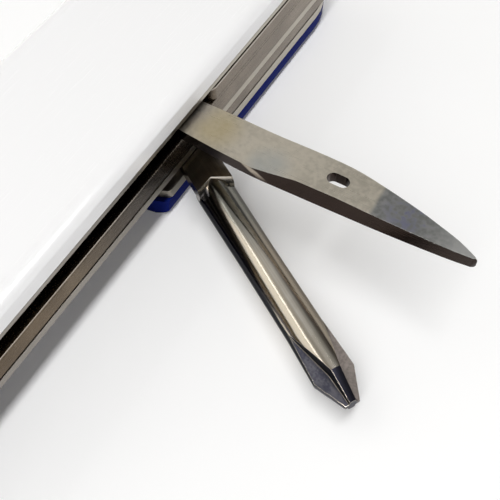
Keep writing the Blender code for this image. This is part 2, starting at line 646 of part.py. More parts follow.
def build_main_blade():
    """Drop-point blade, ground flat from two fifths of its height down to the edge."""
    length = FRONT_PIN[0] - BLOCK_X - BLADE_TIP_ROOM
    tip_s = (EDGE_S + SPINE_S) / 2 + 0.6 * MM

    def edge_at(x):
        t = max(0.0, (x - length + BLADE_BELLY_LENGTH) / BLADE_BELLY_LENGTH)
        return EDGE_S + (tip_s - EDGE_S) * t**2.4

    def spine_at(x):
        t = max(0.0, (x - length + BLADE_DROP_LENGTH) / BLADE_DROP_LENGTH)
        return SPINE_S - (SPINE_S - tip_s) * t**2.0

    steps = 10
    drop = [length - BLADE_DROP_LENGTH * (1 - i / steps) for i in range(steps)]
    back = [(x, spine_at(x)) for x in drop]
    belly = [length - BLADE_BELLY_LENGTH * (i / steps) ** 1.4 for i in range(1, steps + 1)] + [BLADE_HEEL]
    heel = [(BLADE_HEEL - 1.4 * MM, EDGE_S + 1.2 * MM), (BLADE_HEEL - 2.8 * MM, EDGE_S)]
    body = back + [(length, tip_s)] + [(x, edge_at(x)) for x in belly] + heel
    face_tip = length - BLADE_TIP_BACK
    face = back + [(face_tip, spine_at(face_tip))]
    for x in belly:
        pull = BLADE_TIP_BACK * max(0.0, 1 - (length - x) / BLADE_BELLY_LENGTH)
        inner = x - 1.2 * pull
        face.append((inner, edge_at(inner) + BLADE_GRIND_SHARE * (spine_at(inner) - edge_at(inner))))
    face += heel
    blade = belly_tool(
        "main_blade", body, LAYER_BLADE_Z, LAYER_BLADE, BLADE_SIDE_GAP, True, face, BLADE_EDGE_THICK
    )
    nail_nick(blade, length * 0.42, True, LAYER_BLADE_Z + LAYER_BLADE - BLADE_SIDE_GAP)


def build_wood_saw():
    """Saw of the blade's length, with its teeth on the side that faces the back spring."""
    length = FRONT_PIN[0] - BLOCK_X - BLADE_TIP_ROOM
    root = EDGE_S + SAW_TOOTH_HEIGHT
    nose = [
        (length - 16.0 * MM, SPINE_S),
        (length - 6.0 * MM, SPINE_S - 1.4 * MM),
        (length - 1.0 * MM, SPINE_S - 4.0 * MM),
        (length, root + 3.0 * MM),
        (length - 1.2 * MM, root + 0.4 * MM),
    ]
    body = smooth(nose, 3)
    last = length - 3.0 * MM
    count = round((last - BLADE_HEEL) / SAW_TOOTH_PITCH)
    pitch = (last - BLADE_HEEL) / count
    body.append((last, root))
    for i in range(count):
        x = last - pitch * i
        body += [(x - 0.42 * pitch, EDGE_S), (x - 0.58 * pitch, EDGE_S), (x - pitch, root)]
    body += [(BLADE_HEEL - 1.0 * MM, root), (BLADE_HEEL - 3.0 * MM, EDGE_S)]
    saw = belly_tool("wood_saw", body, LAYER_SAW_Z, LAYER_SAW, TOOL_SIDE_GAP, True)
    nail_nick(saw, length * 0.3, True, LAYER_SAW_Z + LAYER_SAW - TOOL_SIDE_GAP)


def build_can_opener():
    """Cutter with a small hook behind it and a narrow screwdriver tip in front."""
    tip = FRONT_PIN[0] - OPENER_TIP_GAP
    low = SPINE_S - 5.6 * MM
    high = SPINE_S - 2.6 * MM
    notch = arc((tip - 15.2 * MM, EDGE_S + 1.6 * MM), 2.7 * MM, 0, 180)
    shaft = tip - DRIVER_TIP_TAPER - 0.4 * MM
    cutter = [(shaft, low - 0.5 * MM), (tip - 7.0 * MM, low - 1.9 * MM), (tip - 11.4 * MM, EDGE_S + 0.2 * MM)]
    back = [(tip - 15.0 * MM, SPINE_S), (tip - 9.0 * MM, SPINE_S - 0.9 * MM), (shaft, high + 0.3 * MM)]
    back = smooth(back, 4)
    rest = [*smooth(cutter, 4), *notch, (tip - 17.7 * MM, EDGE_S + 0.2 * MM), (tip - 20.5 * MM, EDGE_S)]
    body = back + [(tip, high), (tip, low)] + rest
    drawn = tip - DRIVER_TIP_TAPER
    face = back + [(drawn, high), (drawn, low)] + rest
    tool = belly_tool(
        "can_opener", body, LAYER_OPENERS_Z, LAYER_OPENERS, TOOL_SIDE_GAP, True, face, DRIVER_TIP_THICK
    )
    nail_nick(tool, tip - 21.0 * MM, True, LAYER_OPENERS_Z + LAYER_OPENERS - TOOL_SIDE_GAP)


def build_bottle_opener():
    """Cap lifter with its lip behind a round mouth, a wide screwdriver tip and a small wire notch."""
    tip = FRONT_PIN[0] - OPENER_TIP_GAP
    low = SPINE_S - 6.3 * MM
    high = SPINE_S - 0.5 * MM
    mouth = arc((tip - 12.4 * MM, EDGE_S + 3.6 * MM), 4.4 * MM, 15, 205)
    lip = [(tip - 15.0 * MM, EDGE_S + 0.5 * MM), (tip - 17.0 * MM, EDGE_S)]
    wire = arc((tip - 22.0 * MM, EDGE_S), 0.9 * MM, 0, 180)
    shaft = tip - DRIVER_TIP_TAPER - 0.4 * MM
    back = [(tip - 9.0 * MM, SPINE_S), (shaft, SPINE_S - 0.2 * MM)]
    rest = [(shaft, low - 0.2 * MM), (tip - 7.6 * MM, low - 0.8 * MM), *mouth, *lip, *wire]
    body = back + [(tip, high), (tip, low)] + rest
    drawn = tip - DRIVER_TIP_TAPER
    face = back + [(drawn, high), (drawn, low)] + rest
    tool = belly_tool(
        "bottle_opener", body, LAYER_OPENERS_Z, LAYER_OPENERS, TOOL_SIDE_GAP, False, face, DRIVER_TIP_THICK
    )
    nail_nick(tool, tip - 22.0 * MM, False, LAYER_OPENERS_Z + LAYER_OPENERS - TOOL_SIDE_GAP)


def lug_hole():
    """Centre of the ring's hole, outside the rear corner of the back."""
    corner = Vector((-HANDLE_LENGTH / 2 + CORNER_RADIUS, BACK_Y + CORNER_RADIUS))
    return corner + Vector((-1, -1)).normalized() * (CORNER_RADIUS + LUG_REACH)


def build_key_lug():
    pin = Vector(REAR_PIN)
    end = lug_hole()
    along = math.degrees(math.atan2(end.y - pin.y, end.x - pin.x))
    lean = math.degrees(math.acos((LUG_PIN_RADIUS - LUG_END_RADIUS) / (end - pin).length))
    outline = arc(end, LUG_END_RADIUS, along - lean, along + lean)
    outline += arc(pin, LUG_PIN_RADIUS, along + lean, along + 360 - lean)
    middle = LAYER_BLADE_Z + LAYER_BLADE / 2
    holes = [*pin_holes(PIVOTS[1]), circle(end, LUG_HOLE_RADIUS)]
    plate("key_lug", STEEL, outline, middle - LUG_THICK / 2, middle + LUG_THICK / 2, holes)

    # The ring stands on edge, with its wire straight through the hole.
    outward = (end - pin).normalized()
    bm = bmesh.new()
    wire = bmesh.ops.create_circle(bm, radius=RING_WIRE_RADIUS, segments=10)["verts"]
    bmesh.ops.transform(bm, verts=wire, matrix=Matrix.Translation((0.0, 0.0, middle)))
    centre = Vector((outward.x * RING_RADIUS, outward.y * RING_RADIUS, middle))
    across = Vector((-outward.y, outward.x, 0.0))
    bmesh.ops.spin(
        bm, geom=bm.edges[:], cent=centre, axis=across, angle=2 * math.pi, steps=28, use_merge=True
    )
    add_object("key_ring", bm, STEEL, end)


def build_picks():
    """Tweezers and toothpick, lying in the channels with their heads just proud of the front end."""
    front = HANDLE_LENGTH / 2
    corner_y = HANDLE_HEIGHT / 2 - CORNER_RADIUS
    reach = math.sqrt(CORNER_RADIUS**2 - (CHANNEL_AT - corner_y) ** 2)
    head_x = front - CORNER_RADIUS + reach + HEAD_PROUD
    low_face = SCALE_THICK - TWEEZERS_THICK
    for name, finish, width, thick, length, low, point in (
        ("tweezers", STEEL, TWEEZERS_WIDTH, TWEEZERS_THICK, TWEEZERS_LENGTH, low_face, 0.5),
        ("toothpick", GREY_PLASTIC, TOOTHPICK_WIDTH, TOOTHPICK_THICK, TOOTHPICK_LENGTH, SCALE_UPPER_Z, 0.25),
    ):
        tail_x = front - length
        near = CHANNEL_AT
        far = CHANNEL_AT + width
        middle = (near + far) / 2
        neck_x = head_x - PICK_HEAD
        head = [(head_x, near), (head_x - 0.5 * MM, far - 1.0 * MM), (head_x - 1.5 * MM, far)]
        half = width * point / 2
        tail = [(neck_x, far), (tail_x, middle + half), (tail_x, middle - half), (neck_x, near)]
        pick = plate(name, finish, head + tail, low, low + thick)
        if name == "tweezers":
            slit_low = low + (thick - TWEEZERS_SLIT) / 2
            open_x = tail_x - width
            low_y = near - width
            high_y = far + width
            slit = [(open_x, low_y), (neck_x, low_y), (neck_x, high_y), (open_x, high_y)]
            cut(pick, plate("tweezers_slit", None, slit, slit_low, slit_low + TWEEZERS_SLIT))


def main():
    clear_scene()
    build_liners()
    build_scales()
    build_pins()
    build_springs()
    build_awl()
    build_phillips()
    build_main_blade()
    build_wood_saw()
    build_can_opener()
    build_bottle_opener()
    build_key_lug()
    build_picks()


main()
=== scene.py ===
# %% [markdown]
# # A folding pocket knife with its awl and its screwdriver opened
# The knife lies on one handle scale, and its back faces the camera. Plain solids for its thirty pieces come
# from the CAD frame. This lesson dresses them: it softens the edges as a grinding shop would, rebuilds the
# cross-head screwdriver more finely, and gives every piece a finish made of shader nodes.

import json
import math

import bmesh
import bpy
from mathutils import Matrix, Vector


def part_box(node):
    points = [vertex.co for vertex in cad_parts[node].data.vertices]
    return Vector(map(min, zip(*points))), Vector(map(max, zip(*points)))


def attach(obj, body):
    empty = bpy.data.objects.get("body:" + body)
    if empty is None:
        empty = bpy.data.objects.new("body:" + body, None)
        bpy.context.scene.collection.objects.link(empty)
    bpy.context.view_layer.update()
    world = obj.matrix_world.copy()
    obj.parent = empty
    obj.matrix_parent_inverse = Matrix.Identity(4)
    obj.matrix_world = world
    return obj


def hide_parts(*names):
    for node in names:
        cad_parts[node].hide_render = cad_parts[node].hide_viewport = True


MM = 0.001
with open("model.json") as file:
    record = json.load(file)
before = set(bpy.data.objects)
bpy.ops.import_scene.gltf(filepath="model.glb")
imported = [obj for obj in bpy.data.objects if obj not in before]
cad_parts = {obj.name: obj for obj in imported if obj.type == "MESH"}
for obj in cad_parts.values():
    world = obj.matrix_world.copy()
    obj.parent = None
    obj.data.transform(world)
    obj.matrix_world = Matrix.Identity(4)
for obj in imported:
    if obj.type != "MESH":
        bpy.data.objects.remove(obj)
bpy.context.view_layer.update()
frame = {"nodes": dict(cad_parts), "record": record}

# %% [markdown]
# ## Camera
# The view was worked out from the two open tools and the lines of the liners: a camera about 120 mm away, as on
# a macro stand, that looks down at the back of the knife. Its three axes are written out as the columns of a
# matrix, because that places it exactly, with no tracking constraint to solve.

# %% Camera at the photograph's angle
CAMERA_PLACE = Vector((-51.2, -58.7, 94.06)) * MM
CAMERA_RIGHT = Vector((0.5111, -0.8594, -0.0157))
CAMERA_UP = Vector((0.7246, 0.4210, 0.5456))
CAMERA_BACK = Vector((-0.4623, -0.2902, 0.8379))
LENS_MM = 57.6
SENSOR_MM = 36.0

camera = bpy.data.objects.new("camera", bpy.data.cameras.new("camera"))
camera.data.lens = LENS_MM
camera.data.sensor_width = SENSOR_MM
camera.data.clip_start = 1 * MM
rows = zip(CAMERA_RIGHT, CAMERA_UP, CAMERA_BACK, CAMERA_PLACE)
camera.matrix_world = Matrix([*rows, (0.0, 0.0, 0.0, 1.0)])
bpy.context.scene.collection.objects.link(camera)
bpy.context.scene.camera = camera
bpy.context.scene.view_settings.view_transform = "Standard"
print("camera stands", round(CAMERA_PLACE.length / MM), "mm from the knife")

# %% [markdown]
# ## Shader maths as plain Python
# A shader is a small sum done at every point of a surface. Wiring Math nodes by hand hides that sum, so one
# class wraps a socket and lets `1 - mask * 0.3` lay the nodes. Every other node is made by its `node` method,
# which sets the node's choices first and then fills or links its sockets.


# %% The socket class
class Wire:
    """One output socket; sums on it add Math nodes to its tree."""

    def __init__(self, tree, socket=None):
        self.tree = tree
        self.socket = socket

    def node(self, kind, settings=None, sockets=None, output=0):
        made = self.tree.nodes.new("ShaderNode" + kind)
        for key, value in (settings or {}).items():
            if key == "stops":
                ramp = made.color_ramp.elements
                while len(ramp) < len(value):
                    ramp.new(1.0)
                for stop, (at, colour) in zip(ramp, value):
                    stop.position, stop.color = at, (*colour, 1.0)
            else:
                setattr(made, key, value)
        for key, value in (sockets or {}).items():
            slot = self.find(made.inputs, key)
            if isinstance(value, Wire):
                self.tree.links.new(value.socket, slot)
            else:
                slot.default_value = value
        found = self.find(made.outputs, output) if len(made.outputs) else None
        return Wire(self.tree, found)

    @staticmethod
    def find(slots, key):
        named = [slot for slot in slots if slot.identifier == key]
        return named[0] if named else slots[key]

    def sum(self, operation, first, second):
        return self.node("Math", {"operation": operation}, {0: first, 1: second})

    def __add__(self, other):
        return self.sum("ADD", self, other)

    def __sub__(self, other):
        return self.sum("SUBTRACT", self, other)

    def __rsub__(self, other):
        return self.sum("SUBTRACT", other, self)

    def __mul__(self, other):
        return self.sum("MULTIPLY", self, other)

    __radd__ = __add__
    __rmul__ = __mul__


print("sums that lay nodes:", [name for name in vars(Wire) if name.startswith("__r")])

# %% [markdown]
# ## Floor
# The knife lies on a white table. A diffuse white sheet would do, but seen from above it comes out light grey.
# A little white is therefore added for rays from the camera and for rays that metal or glass sends out, which
# keeps the sheet white in the picture and in the steel, and it still takes the knife's shadow.

# %% White table
TABLE_HALF = 900 * MM
TABLE_DROP = 0.02 * MM
TABLE_WHITE = (0.97, 0.97, 0.97, 1.0)
TABLE_LIFT = 0.08

table_mesh = bpy.data.meshes.new("table")
corners = [(-1, -1), (1, -1), (1, 1), (-1, 1)]
corners = [(x * TABLE_HALF, y * TABLE_HALF, -TABLE_DROP) for x, y in corners]
table_mesh.from_pydata(corners, [], [(0, 1, 2, 3)])
table = bpy.data.objects.new("table", table_mesh)
bpy.context.scene.collection.objects.link(table)


def new_finish(name):
    """An empty material, and the wire of the object's own coordinates in metres."""
    made = bpy.data.materials.new(name)
    made.use_nodes = True
    made.node_tree.nodes.clear()
    return made, Wire(made.node_tree).node("TexCoord", output="Object")


def close(place, shader):
    place.node("OutputMaterial", {}, {"Surface": shader})


table_finish, place = new_finish("white_table")
paper = place.node("TexNoise", {}, {"Vector": place, "Scale": 900.0, "Detail": 3.0}, "Fac")
paper_bump = place.node("Bump", {}, {"Strength": 0.05, "Distance": 0.05 * MM, "Height": paper})
sheet = place.node("BsdfDiffuse", {}, {"Color": TABLE_WHITE, "Normal": paper_bump})
glow = place.node("Emission", {}, {"Color": (1.0, 1.0, 1.0, 1.0), "Strength": 1.0})
camera_ray = place.node("LightPath", {}, {}, "Is Camera Ray")
glossy_ray = place.node("LightPath", {}, {}, "Is Glossy Ray")
clear_ray = place.node("LightPath", {}, {}, "Is Transmission Ray")
seen = (camera_ray + glossy_ray + clear_ray) * TABLE_LIFT
close(place, place.node("MixShader", {}, {0: seen, 1: sheet, 2: glow}))
table_mesh.materials.append(table_finish)
print("table:", round(2 * TABLE_HALF, 2), "m square")

# %% [markdown]
# ## Light
# On the real table the handle throws a narrow shadow on the side where the tools open, and the slim tools throw
# almost none. A long strip light does that. It hangs lengthwise over the back of the knife and mostly past its
# rear end, so it is narrow across the handle and long across the tools, and their flat tops do not mirror it. A
# square lamp would blur the handle's shadow as well. A second strip behind the knife, thin and much fainter,
# draws the bright line along the round screwdriver.

# %% Two strip lights
STRIPS = {
    "key_strip": {"place": (-0.58, -0.065, 0.60), "length": 1.60, "width": 0.12, "watts": 5.75},
    "line_strip": {"place": (-0.175, 0.40, 0.60), "length": 0.65, "width": 0.03, "watts": 0.20},
}
for name, spec in STRIPS.items():
    lamp = bpy.data.lights.new(name, "AREA")
    lamp.shape = "RECTANGLE"
    lamp.size = spec["length"]
    lamp.size_y = spec["width"]
    lamp.energy = spec["watts"]
    strip = bpy.data.objects.new(name, lamp)
    strip.location = spec["place"]
    bpy.context.scene.collection.objects.link(strip)
    print(name, spec["watts"], "W over", spec["length"], "m")

# %% [markdown]
# ## Room
# Polished steel looks like steel only when it has bright and dark things to mirror. This room has a pale band all
# round at the horizon, a little brighter on the side that the tools point to. Above the band it is dim, and it
# gets lighter overhead. Behind the knife stand a bright wall and half a ceiling, and a pale patch is low on the
# right. Each of those is one smooth step of the direction in which the room is seen. A picture of a real room
# would do too, but it could not be changed one piece at a time.


# %% Masks and blends
def between(place, value, low, high):
    """0 where value is at low or before it, 1 at high or past it, smooth in between."""
    sockets = {"Value": value, "From Min": low, "From Max": high}
    return place.node("MapRange", {"interpolation_type": "SMOOTHSTEP"}, sockets)


def blend(place, mask, first, second):
    sockets = {"Factor_Float": mask, "A_Color": first, "B_Color": second}
    return place.node("Mix", {"data_type": "RGBA"}, sockets, "Result_Color")


def part_of(place, axis):
    return place.node("SeparateXYZ", {}, {"Vector": place}, axis)


print("masks and blends:", between.__name__, blend.__name__, part_of.__name__)

# %% Room light by direction
ROOM_DIM = (0.048, 0.048, 0.052, 1.0)
ROOM_FULL = (1.06, 1.04, 1.0, 1.0)
CEILING_SHARE = 0.34
WALL_SHARE = 0.75
SIDE_SHARE = 0.22

room = bpy.data.worlds.new("room")
room.use_nodes = True
room.node_tree.nodes.clear()
view = Wire(room.node_tree).node("TexCoord", output="Generated")
right = part_of(view, "X")
behind = part_of(view, "Y")
height = part_of(view, "Z")
overhead = between(view, height, 0.1, 0.7) * (0.04 + between(view, behind, -0.5, 0.1) * 0.16)
ceiling = between(view, height, 0.3, 0.6) * between(view, behind, 0.0, 0.3)
ceiling = ceiling * between(view, right, -0.1, 0.3) * CEILING_SHARE
wall = between(view, height, 0.02, 0.2) * between(view, behind, 0.45, 0.7)
wall = wall * between(view, right, 0.5, 0.1) * WALL_SHARE
side = between(view, height, 0.45, 0.2) * between(view, right, 0.75, 0.9) * SIDE_SHARE
horizon = between(view, height, 0.38, 0.24) * (0.74 + between(view, behind, -0.15, -0.5) * 0.21)
room_glow = blend(view, overhead + ceiling + wall + side + horizon, ROOM_DIM, ROOM_FULL)
backdrop = view.node("Background", {}, {"Color": room_glow, "Strength": 1.0})
view.node("OutputWorld", {}, {"Surface": backdrop})
bpy.context.scene.world = room
print("room:", len(room.node_tree.nodes), "nodes")

# %% [markdown]
# ## Words for finishes
# The finishes here are built from a few things: a fine mottle, long grinding lines, a shallow bump, and the soft
# masks and blends of two colours that the room already used. Each is a short function, so that a finish reads as
# a sentence. Painted pictures would do as well, but these patterns have no seams and no fixed size.

# %% Mottle, grinding lines and bare metal
GRAIN_DEPTH = 0.01 * MM


def rgb(red, green, blue):
    return (red, green, blue, 1.0)


def mottle(place, size, detail=3.0):
    return place.node("TexNoise", {}, {"Vector": place, "Scale": 1.0 / size, "Detail": detail}, "Fac")


def ground_lines(place, length, width):
    """Noise drawn out along X in the piece's own frame: lines of about this length and width in metres."""
    drawn = place.node(
        "VectorMath", {"operation": "MULTIPLY"}, {0: place, 1: (1 / length, 1 / width, 1 / width)}
    )
    return place.node("TexNoise", {}, {"Vector": drawn, "Scale": 1.0, "Detail": 4.0}, "Fac")


def stretch(place, value, low, high, soft):
    """1 where value lies between low and high, with soft ends."""
    return between(place, value, low - soft, low) * between(place, value, high + soft, high)


def bumped(place, strength, height, depth=GRAIN_DEPTH):
    return place.node("Bump", {}, {"Strength": strength, "Distance": depth, "Height": height})


def close_metal(place, colour, roughness, normal, edge=rgb(1.0, 1.0, 1.0)):
    """Ends a finish as bare metal; edge tints what the metal mirrors at a glancing angle."""
    sockets = {
        "Base Color": colour,
        "Metallic": 1.0,
        "Roughness": roughness,
        "Specular Tint": edge,
        "Normal": normal,
    }
    close(place, place.node("BsdfPrincipled", {}, sockets))


print("finish words:", mottle.__name__, ground_lines.__name__, stretch.__name__, bumped.__name__)

# %% [markdown]
# ## Turning the grain
# The tools are ground along their own length, and in the picture they stand open at their own angles. A finish
# sees the object's coordinates at rest, so the grain of the awl and of the driver is turned about the back pin
# before the lines are drawn. A Mapping node set to texture type would do the same; rotating the vector keeps the
# sums visible. Some finishes also change with the way the surface faces. That is read from the piece's own
# normal, so the change stays on the piece from every side, and it also finds the rounds along the edges.

# %% Pivots and turned coordinates
BACK_PIN = Vector((8.0, -8.4, 0.0)) * MM
AWL_TURN = math.radians(-90.0)
DRIVER_TURN = math.radians(-121.0)
UP = (0.0, 0.0, 1.0)


def turned(place, pivot, angle):
    """Coordinates with X running along a tool that points at this angle from its pivot."""
    moved = place.node("VectorMath", {"operation": "SUBTRACT"}, {0: place, 1: tuple(pivot)})
    return place.node("VectorRotate", {"rotation_type": "Z_AXIS"}, {"Vector": moved, "Angle": -angle})


def facing(place, direction):
    """How far the piece's own surface turns towards a direction: 1 straight at it, -1 straight away."""
    outward = place.node("TexCoord", output="Normal")
    return place.node("VectorMath", {"operation": "DOT_PRODUCT"}, {0: outward, 1: direction}, "Value")


def flatness(place):
    """1 on faces that lie flat, 0 on upright walls."""
    upward = facing(place, UP)
    return upward * upward


def rounded_edge(place):
    """1 on the small rounds between flat faces and upright walls, made brighter as wear and as a painted
    highlight.
    """
    return stretch(place, flatness(place), 0.3, 0.8, 0.1)


print("awl points at", round(math.degrees(AWL_TURN)), "and the driver at", round(math.degrees(DRIVER_TURN)))

# %% [markdown]
# ## Steel of the tools
# Pocket tools are stamped from stainless sheet, ground and tumbled. Tumbling leaves a satin face with a fine,
# nearly even speckle, a faint yellow cast and soft cloudy patches, and handling rubs the rounded edges bright;
# their brighter colour is also a painted highlight. Metal has no diffuse colour, so the colour goes in as the
# metal's own reflectance, and the speckle works through roughness and a shallow bump. The same recipe serves the
# metals of the handle's back. There the rear end is painted browner and darker, a painted reflection of the
# shaded table, the stretch beside the back pin is painted dark as the shadow of the open tools, and two pieces
# have a painted highlight along the top.

# %% Painted reflection and painted shade on the handle's back
REAR_REFLECTION_FROM = -30 * MM
REAR_REFLECTION_TO = 22 * MM
TOOL_SHADE_FROM = -24 * MM
TOOL_SHADE_TO = -5 * MM
TOOL_SHADE_END = (12 * MM, 5 * MM)
TOOL_SHADE_DARK = rgb(0.010, 0.006, 0.004)
RIM_HIGHLIGHT = rgb(0.47, 0.42, 0.36)
RIM_SOFT = 0.1 * MM
RIM_ENDS = 0.5 * MM


def back_tone(place, tone, metal, rear, tool_shade_strength):
    """The metal of the handle's back: painted reflection browner towards the rear, painted shade of the open
    tools beside the back pin.
    """
    reach = part_of(place, "X")
    metal = blend(place, between(place, reach, REAR_REFLECTION_FROM, REAR_REFLECTION_TO), blend(place, tone, *rear), metal)
    tool_shade = between(place, reach, TOOL_SHADE_FROM, TOOL_SHADE_TO) * between(place, reach, *TOOL_SHADE_END)
    return blend(place, tool_shade * tool_shade_strength, metal, TOOL_SHADE_DARK)


def painted_highlight_rim(place, metal, height, start, end):
    """A painted highlight: a bright line on walls from this height up, between two places along the handle."""
    rim = between(place, part_of(place, "Z"), height - RIM_SOFT, height)
    rim = rim * stretch(place, part_of(place, "X"), start, end, RIM_ENDS)
    return blend(place, rim * between(place, flatness(place), 0.95, 0.8), metal, RIM_HIGHLIGHT)


# The span printed here is where the rear's painted reflection fades into the plain metal.
print("the back is worn bright from", round(REAR_REFLECTION_FROM / MM), "to", round(REAR_REFLECTION_TO / MM), "mm")

# %% Satin steel
SPECK = 0.25 * MM
CLOUD = 6 * MM
EDGE_GAIN = 1.4
EDGE_LIMIT = 0.9
EDGE_WEAR_AND_HIGHLIGHT = 0.6


def satin_steel(
    name,
    colour,
    cloudy,
    roughness,
    line_length=9 * MM,
    line_width=0.09 * MM,
    rear=None,
    rim=None,
    tool_shade_strength=0.72,
    bump=0.25,
):
    made, place = new_finish(name)
    speck = mottle(place, SPECK)
    cloud = mottle(place, CLOUD, 2.0)
    lines = ground_lines(place, line_length, line_width)
    tone = between(place, cloud * 0.6 + lines * 0.25 + speck * 0.15, 0.3, 0.7)
    metal = blend(place, tone, cloudy, colour)
    if rear:
        metal = back_tone(place, tone, metal, rear, tool_shade_strength)
    # rim gives where a painted highlight runs along the top of a piece.
    if rim:
        metal = painted_highlight_rim(place, metal, *rim)
    # Rounded edges take a brighter colour: rubbed bright by wear, and a painted highlight.
    worn = rgb(*(min(part * EDGE_GAIN, EDGE_LIMIT) for part in colour[:3]))
    metal = blend(place, rounded_edge(place) * EDGE_WEAR_AND_HIGHLIGHT, metal, worn)
    grain = bumped(place, bump, lines * 0.6 + speck * 0.4)
    close_metal(place, metal, roughness - 0.06 + speck * 0.08 + lines * 0.06, grain)
    return made


blade_steel = satin_steel("blade_steel", rgb(0.56, 0.55, 0.53), rgb(0.48, 0.47, 0.45), 0.30)
saw_steel = satin_steel("saw_steel", rgb(0.54, 0.53, 0.50), rgb(0.45, 0.44, 0.42), 0.33)
opener_steel = satin_steel("opener_steel", rgb(0.55, 0.53, 0.50), rgb(0.46, 0.45, 0.42), 0.31)
pin_steel = satin_steel("pin_steel", rgb(0.60, 0.58, 0.55), rgb(0.52, 0.50, 0.47), 0.25)
wire_steel = satin_steel(
    "wire_steel", rgb(0.62, 0.61, 0.59), rgb(0.55, 0.54, 0.52), 0.20, 2 * MM, 0.1 * MM
)
for finish in (blade_steel, saw_steel, opener_steel, pin_steel, wire_steel):
    print("satin steel:", finish.name)

# %% [markdown]
# ## Steel of the awl
# The awl has many looks on one piece. Its face is beige satin steel with a few stains from heat, and a mauve
# patch at the root that is painted shade of the liner. Past the eye the tip is ground darker, with a bluish patch
# and a paler end. The upright walls, those of the eye among them, are painted dark as shade, and the rounded
# edges are bright from wear and as a painted highlight. The bevel along the cutting side is painted nearly black,
# a painted reflection of the shaded table, with one painted highlight, a bright streak where the grinding wheel
# came in. All of them are told apart by where they are and by the way the surface faces, which are read from the
# piece itself, so they travel with the tool. Separate materials on separate faces would give hard borders.

# %% Colours and places on the awl
AWL_FACE = rgb(0.60, 0.555, 0.470)
AWL_FACE_CLOUD = rgb(0.48, 0.445, 0.375)
AWL_BRIGHT = rgb(0.69, 0.635, 0.54)
AWL_HEAT = rgb(0.55, 0.455, 0.255)
AWL_ROOT_SHADE = rgb(0.45, 0.42, 0.43)
AWL_COOL = rgb(0.42, 0.46, 0.47)
AWL_TIP = rgb(0.190, 0.195, 0.190)
AWL_TIP_WORN = rgb(0.290, 0.290, 0.280)
AWL_TIP_BLUE = rgb(0.185, 0.190, 0.255)
AWL_TIP_PALE = rgb(0.46, 0.46, 0.45)
AWL_WALL_SHADE = rgb(0.12, 0.10, 0.088)
AWL_EDGE_WEAR_AND_HIGHLIGHT = rgb(0.88, 0.85, 0.80)
AWL_BEVEL_SHADE = rgb(0.037, 0.027, 0.023)
AWL_PLUNGE_HIGHLIGHT = rgb(0.60, 0.52, 0.42)
HEAT_AT = Vector((8.4, -0.2, 13.5)) * MM
COOL_AT = Vector((17.8, -2.4, 13.5)) * MM
ROOT_SHADE_AT = Vector((3.0, 1.0, 13.5)) * MM
BLUE_AT = Vector((36.8, -0.6, 13.5)) * MM
TIP_AT = 32.4 * MM
TIP_SOFT = 0.35 * MM
PALE_FROM = 39 * MM
PALE_TO = 45.5 * MM
print("awl: tip past", round(TIP_AT / MM, 1), "mm, paler past", round(PALE_FROM / MM), "mm")


# %% Face and tip of the awl
def stain(place, along, middle, size):
    """A soft round patch about a point, strongest in its middle."""
    away = place.node("VectorMath", {"operation": "DISTANCE"}, {0: along, 1: tuple(middle)}, "Value")
    return between(place, away, size, size * 0.2)


awl_steel, place = new_finish("awl_steel")
along = turned(place, BACK_PIN, AWL_TURN)
reach = part_of(along, "X")
speck = mottle(along, 0.7 * MM, 1.5)
cloud = mottle(along, 5 * MM, 3.0)
patch = mottle(along, 4 * MM, 1.0)
face = blend(place, between(place, cloud * 0.4 + speck * 0.6, 0.36, 0.64), AWL_FACE_CLOUD, AWL_FACE)
face = blend(place, stretch(place, reach, 15 * MM, 20 * MM, 5 * MM) * 0.4, face, AWL_BRIGHT)
face = blend(place, stain(place, along, HEAT_AT, 5 * MM) * (0.35 + patch * 0.6), face, AWL_HEAT)
face = blend(place, stain(place, along, COOL_AT, 4 * MM) * patch, face, AWL_COOL)
# Painted shade of the liner: a mauve patch at the awl's root.
face = blend(place, stain(place, along, ROOT_SHADE_AT, 5 * MM) * 0.6, face, AWL_ROOT_SHADE)
ground = blend(place, between(place, speck * 0.6 + cloud * 0.4, 0.36, 0.64), AWL_TIP, AWL_TIP_WORN)
bluing = between(place, speck * 0.6 + patch * 0.4, 0.40, 0.60)
ground = blend(place, bluing * stain(place, along, BLUE_AT, 4.5 * MM), ground, AWL_TIP_BLUE)
ground = blend(place, between(place, reach, PALE_FROM, PALE_TO) * 0.75, ground, AWL_TIP_PALE)
tip = between(place, reach, TIP_AT - TIP_SOFT, TIP_AT + TIP_SOFT)
face = blend(place, tip, face, ground)
print("awl face and tip:", len(awl_steel.node_tree.nodes), "nodes")

# %% Walls, edges and bevel of the awl
CUTTING_SIDE = (-1.0, 0.0, 0.0)
PLUNGE_SLANT = 1.5

# Painted shade: upright walls, those of the eye too, are darkened.
face = blend(place, between(place, flatness(place), 0.35, 0.1), face, AWL_WALL_SHADE)
# Rounded edges bright: wear and a painted highlight.
face = blend(place, rounded_edge(place), face, AWL_EDGE_WEAR_AND_HIGHLIGHT)
level = part_of(place, "Z")
# Painted highlight: a bright streak where the grind begins on the bevel.
plunge_highlight = stretch(place, reach + level * PLUNGE_SLANT, 35.0 * MM, 35.8 * MM, 0.6 * MM)
plunge_highlight = plunge_highlight * between(place, level, 11.6 * MM, 12.8 * MM)
# Painted reflection: the bevel along the cutting side is near black.
bevel = between(place, facing(place, CUTTING_SIDE), 0.45, 0.65)
metal = blend(place, bevel, face, blend(place, plunge_highlight * 0.7, AWL_BEVEL_SHADE, AWL_PLUNGE_HIGHLIGHT))
lines = ground_lines(along, 12 * MM, 0.15 * MM)
close_metal(place, metal, 0.24 + lines * 0.10 + tip * 0.06 - bevel * 0.08, bumped(place, 0.06, speck))
print("awl steel:", len(awl_steel.node_tree.nodes), "nodes")

